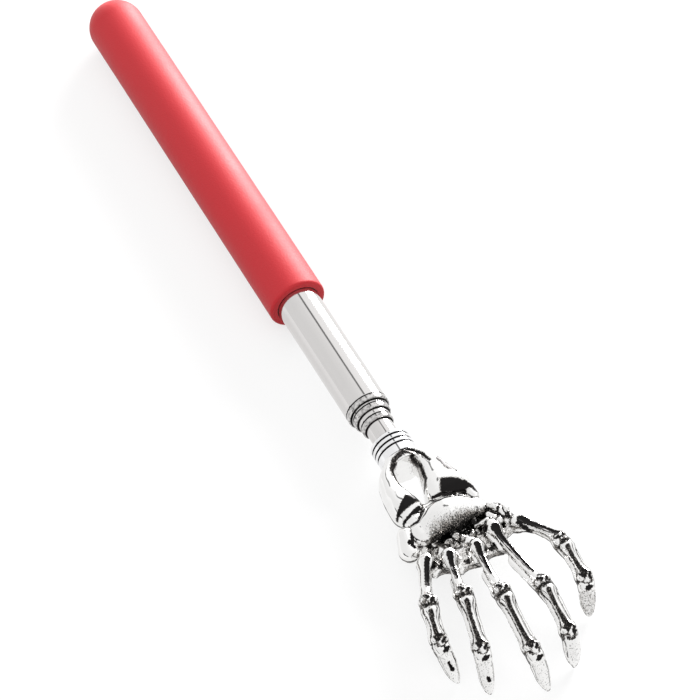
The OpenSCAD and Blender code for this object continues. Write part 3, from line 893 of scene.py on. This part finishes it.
# Tumbling leaves the casting slightly wavy
wave_h = 0.02
cells, (x, y, z) = hand.box((1, -30, -30), (80, 30, 30))
hand.depth[cells] += wave_h * (
    np.sin(1.9 * x + 0.7 * y) * np.sin(1.6 * y - 1.1 * z) + np.sin(2.7 * z + 1.3 * x + 0.9 * y))

# The skin of the grid is the mesh. A crevice gets painted shade where metal lies all around a point, and a
# painted dark outline runs along the digits where the skin faces sideways, and along the outsides of the
# forearm bones.
crevice_cells = 3
outline_dark = 0.8
outline_z = -1.7
wrist_x = 17
cast_bright = (0.90, 0.896, 0.888)
# Colours of the painted shade on the casting: a brown half shade and black metal
brown_half_shade = (0.40, 0.37, 0.34)
shade_black_metal = (0.016, 0.015, 0.015)


def softened(values, reach):
    """The grid averaged over a few cells each way, twice."""
    for _ in range(2):
        for axis in range(3):
            total = sum(np.roll(values, i, axis) for i in range(-reach, reach + 1))
            values = total / (2 * reach + 1)
    return values


grid = openvdb.FloatGrid(clear_air)
grid.copyFromArray(hand.depth)
skin_points, skin_faces = grid.convertToQuads(isovalue=0.0)
nearest = tuple(np.rint(skin_points).astype(int).T)
places = skin_points * grain + np.array([axis[0] for axis in hand.axes])
x, y, z = places.T
crevice = -softened(np.clip(hand.depth, -1.5, 1.5), crevice_cells)[nearest]
facing_up = np.gradient(softened(hand.depth, 1), grain, axis=2)[nearest]
on_digits = np.clip(1 - np.abs(facing_up + 0.06) / 0.24, 0, 1) * (x > wrist_x)
outside = (x > 2.5) * (x < wrist_x) * (np.abs(y + 1) > 4.5)
on_forearm = fading(np.abs(z - outline_z), 0.7) * outside
shade_tarnish_level = np.maximum.reduce([
    np.clip(crevice / 0.25 - 0.3, 0, 1), outline_dark * (on_digits + on_forearm), hand.shade_and_tarnish[nearest]])
mesh = bpy.data.meshes.new("chromed_skeleton_hand")
mesh.from_pydata((places * mm + (shoulder_x, 0, 0)).tolist(), [], skin_faces.tolist())
mesh.shade_smooth()
mesh.attributes.new("shade_tarnish_level", "FLOAT", "POINT").data.foreach_set("value", shade_tarnish_level.astype(np.float32))


def cast_chrome(start):
    """Chrome that goes over a painted brown half shade to painted black metal where the painted shade and
    tarnish are strong, with a grainy edge.
    """
    place = start.make("TexCoord", out="Object")
    hollow = start.make("Attribute", {"attribute_name": "shade_tarnish_level"}, out="Fac")
    haze = start.make("TexNoise", {}, {"Vector": place, "Scale": 900, "Detail": 4, "Roughness": 0.65})
    grains = start.make("TexNoise", {}, {"Vector": place, "Scale": 3200, "Detail": 2})
    darken = (hollow + 0.9 * (grains - 0.5)).rise(0.35, 0.65)
    half_shade = (hollow + 0.3 * (haze - 0.5)).rise(0.33, 0.6)
    clean = (half_shade + 0.10 * haze).tint(cast_bright, brown_half_shade)
    return {
        "Base Color": darken.tint(clean, shade_black_metal),
        "Roughness": 0.03 + 0.06 * haze.rise(0.4, 0.8) + 0.15 * darken,
        "Normal": (haze + 0.6 * grains).bump(0.10, 0.06 * mm),
    }


mesh.materials.append(finish_of("chrome_casting", cast_chrome, Metallic=1.0))
skeleton_hand = bpy.data.objects.new("chromed_skeleton_hand", mesh)
bpy.context.scene.collection.objects.link(skeleton_hand)
tumbled = skeleton_hand.modifiers.new("tumbled", "SMOOTH")
tumbled.factor = 0.5
tumbled.iterations = 3
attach(skeleton_hand, "fourth_stage")
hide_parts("skeleton_hand")

# Table, studio and camera
# A pale table top in a white tent that is open in front, where the chrome shows the dark room near the
# horizon. One soft box stands low behind the thumb's side, and the camera looks down on the back of the
# hand, from in front and from the little finger's side.
table_half = 3.0
table_grey = (0.26, 0.26, 0.26, 1)
table_lift = 0.71
table_mesh = bpy.data.meshes.new("table_top")
table_mesh.from_pydata(
    [(sx * table_half, sy * table_half, cad_box[0].z) for sx, sy in ((-1, -1), (1, -1), (1, 1), (-1, 1))],
    [], [(0, 1, 2, 3)])
table_top = bpy.data.objects.new("table_top", table_mesh)
bpy.context.scene.collection.objects.link(table_top)
table_paint = bpy.data.materials.new("pale_table")
table_paint.use_nodes = True
tree = table_paint.node_tree
start = Wire(tree)
rays = start.make("LightPath", out="Is Camera Ray")
seen = rays + rays.other("Is Glossy Ray") + rays.other("Is Transmission Ray")
matt = start.make("BsdfDiffuse", {}, {"Color": table_grey})
glow = start.make("Emission", {}, {"Strength": table_lift * seen})
both = start.make("AddShader", {}, {0: matt, 1: glow})
tree.links.new(both.socket, tree.nodes["Material Output"].inputs["Surface"])
table_mesh.materials.append(table_paint)

# The camera sees the studio white. Metal mirrors the tent, brighter on the thumb's side and with one dark
# seam, and the dark room low in front; the rest of the light is weaker on the thumb's side.
studio = bpy.data.worlds.new("studio")
studio.use_nodes = True
bpy.context.scene.world = studio
tree = studio.node_tree
start = Wire(tree)
ahead = start.make("SeparateXYZ", {}, {0: start.make("TexCoord", out="Generated")})
across = ahead.other("Y")
up = ahead.other("Z")
rays = start.make("LightPath", out="Is Camera Ray")
mirrored = rays.other("Is Glossy Ray") + rays.other("Is Transmission Ray")
dark_room = ahead.within(-0.30, 0.80, 0.15) * (1 - up.rise(0.10, 0.26))
lit_side = 0.4 * across.rise(-0.6, 0.1) + 0.6 * across.rise(0.10, 0.2)
lit_side = lit_side * (1 - 0.6 * ahead.rise(0.1, 0.5))
seam = across.within(0.05, 0.21, 0.04) * ahead.within(-0.68, -0.46, 0.03) * up.rise(0.3, 0.5)
tent = (0.92 + 0.24 * lit_side) * (1 - dark_room) * (1 - 0.8 * seam) + 0.01
around = 1.14 - 0.50 * across.rise(-0.3, 0.8)
level = rays + (1 - rays) * (mirrored * tent + (1 - mirrored) * around)
tree.links.new(level.socket, tree.nodes["Background"].inputs["Strength"])
tree.nodes["Background"].inputs["Color"].default_value = (1, 1, 1, 1)

box_place = Vector((-0.645, 0.885, 0.30))
box_side = 0.6
box_watts = 30.0
lamp = bpy.data.lights.new("thumb_side_box", "AREA")
lamp.shape = "RECTANGLE"
lamp.size = box_side
lamp.size_y = box_side
lamp.energy = box_watts
soft_box = bpy.data.objects.new("thumb_side_box", lamp)
soft_box.location = box_place
soft_box.rotation_euler = (-box_place).to_track_quat("-Z", "Y").to_euler()
bpy.context.scene.collection.objects.link(soft_box)

camera_mm = 157.9
camera_height = 50.18
camera_turn = 26.91
lens = bpy.data.cameras.new("camera")
lens.lens = camera_mm
camera = bpy.data.objects.new("camera", lens)
camera.location = (0.5088, -0.2154, 0.5835)
camera.rotation_euler = (math.radians(90 - camera_height), 0, math.radians(90 - camera_turn))
bpy.context.scene.collection.objects.link(camera)
bpy.context.scene.camera = camera
bpy.context.scene.view_settings.view_transform = "Standard"
